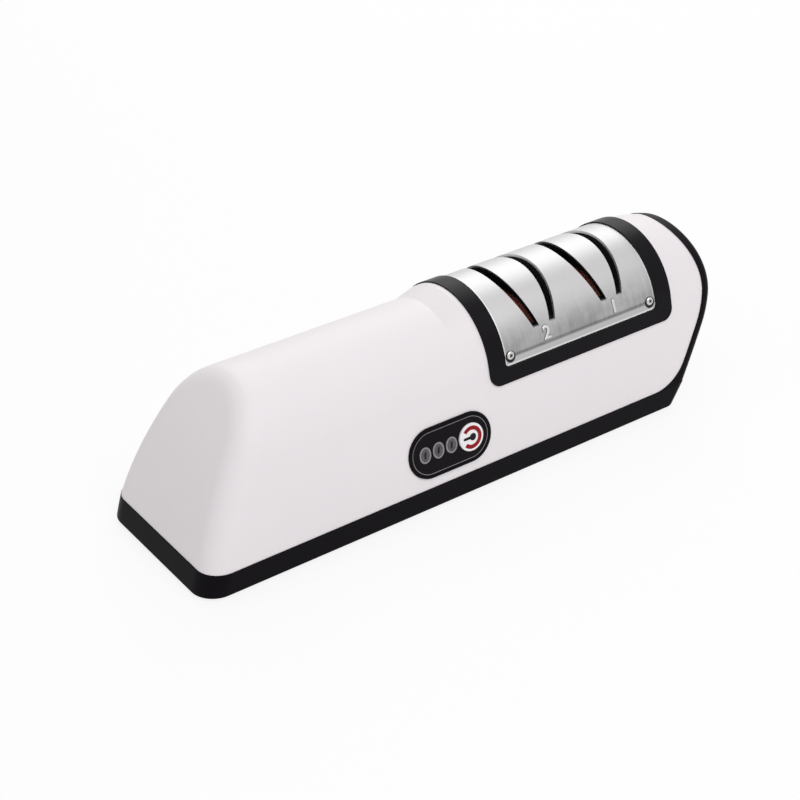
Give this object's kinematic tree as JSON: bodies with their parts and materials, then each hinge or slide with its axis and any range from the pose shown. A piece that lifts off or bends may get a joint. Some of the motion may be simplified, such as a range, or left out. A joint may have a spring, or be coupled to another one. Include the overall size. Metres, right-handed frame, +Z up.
{
  "type": "electric knife sharpener",
  "caption": "Battery-driven electric knife sharpener: arched grip with a push button, and a head whose steel cover has leaning blade slots over grinding wheels on one spindle.",
  "frame": {"origin": "on the table, in the middle of the footprint", "axes": "+X along the grip towards the sharpening head, -Y towards the control panel, +Z up"},
  "size_m": [0.2198, 0.063, 0.0625],
  "materials": {
    "housing_white": "satin pinkish white ABS",
    "base_black": "fine satin black ABS",
    "frame_black": "satin black ABS",
    "plate_steel": "brushed stainless sheet",
    "guide_black": "matt black ABS",
    "screw_steel": "nickel plated steel",
    "panel_gloss": "glossy black panel",
    "lens_grey": "smoked translucent acrylic",
    "button_white": "glossy white ABS with printed mark",
    "board_green": "solder mask on glass fibre board",
    "switch_black": "moulded switch",
    "foot_rubber": "matt elastomer",
    "shaft_steel": "ground steel",
    "coupling_grey": "acetal",
    "winding_copper": "enamelled copper windings on iron",
    "fine_abrasive": "fine bonded abrasive",
    "coarse_abrasive": "coarse bonded abrasive",
    "brass_nut": "brass",
    "can_steel": "zinc plated steel",
    "magnet_grey": "ferrite",
    "cell_wrap": "shrink wrapped cells"
  },
  "bodies": {
    "housing": {"upper_housing": "housing_white", "base_shell": "base_black", "head_frame": "frame_black", "cover_plate": "plate_steel", "knife_guide": "guide_black", "plate_screws": "screw_steel", "button_bezel": "base_black", "button_panel": "panel_gloss", "indicator_lenses": "lens_grey", "board_screws": "screw_steel", "control_board": "board_green", "switch_body": "switch_black", "status_leds": "lens_grey", "chassis_screws": "screw_steel", "charging_socket": "plate_steel", "charging_board": "board_green", "base_screws": "screw_steel", "rubber_feet": "foot_rubber", "front_bearing": "shaft_steel", "rear_bearing": "shaft_steel", "front_bracket": "guide_black", "rear_bracket": "guide_black", "motor_can": "can_steel", "motor_end_cap": "coupling_grey", "motor_bushes": "brass_nut", "motor_magnets": "magnet_grey", "motor_mount": "guide_black", "motor_strap": "can_steel", "strap_screws": "screw_steel", "battery_cells": "cell_wrap", "battery_cradle": "guide_black", "cell_contacts": "can_steel"},
    "rotor": {"spindle": "shaft_steel", "motor_shaft": "shaft_steel", "shaft_coupling": "coupling_grey", "motor_armature": "winding_copper", "fine_wheel": "fine_abrasive", "coarse_wheel": "coarse_abrasive", "wheel_flanges": "shaft_steel", "wheel_spacer": "shaft_steel", "spindle_nut": "brass_nut"},
    "button": {"power_button": "button_white", "switch_plunger": "switch_black"}
  },
  "joints": [
    {"name": "spindle_spin", "type": "hinge", "parent": "housing", "child": "rotor", "pos_m": [0.05, 0, 0.037], "axis": [1, 0, 0], "continuous": true},
    {"name": "button_press", "type": "slide", "parent": "housing", "child": "button", "axis": [0, 0.9784, -0.2067], "range_m": [0, 0.0005], "stiffness_N_per_m": 900, "springref_m": -0.0004}
  ]
}
